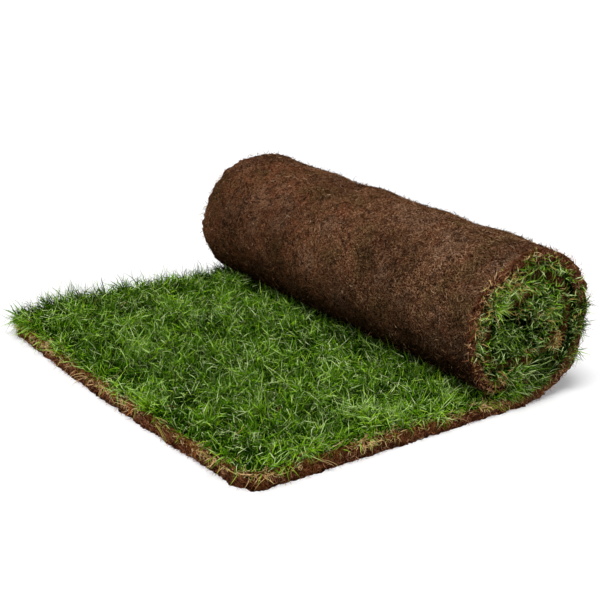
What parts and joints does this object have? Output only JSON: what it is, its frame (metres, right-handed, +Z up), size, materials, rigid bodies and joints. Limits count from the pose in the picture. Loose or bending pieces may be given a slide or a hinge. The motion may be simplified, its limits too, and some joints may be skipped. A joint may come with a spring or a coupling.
{
  "type": "roll of turf",
  "caption": "Strip of lawn turf with its soil, partly unrolled: a flat stretch with the grass up and the rest wound into a roll with the soil outside.",
  "frame": {"origin": "on the ground, under the middle of the whole piece", "axes": "+X along the axis of the roll, +Y from the strip's free end to the roll, +Z up"},
  "size_m": [0.6336, 0.5496, 0.2111],
  "materials": {
    "soil": "matte",
    "grass": "matte"
  },
  "bodies": {
    "root": {"soil_mat": "soil", "grass_sward": "grass"}
  },
  "joints": []
}
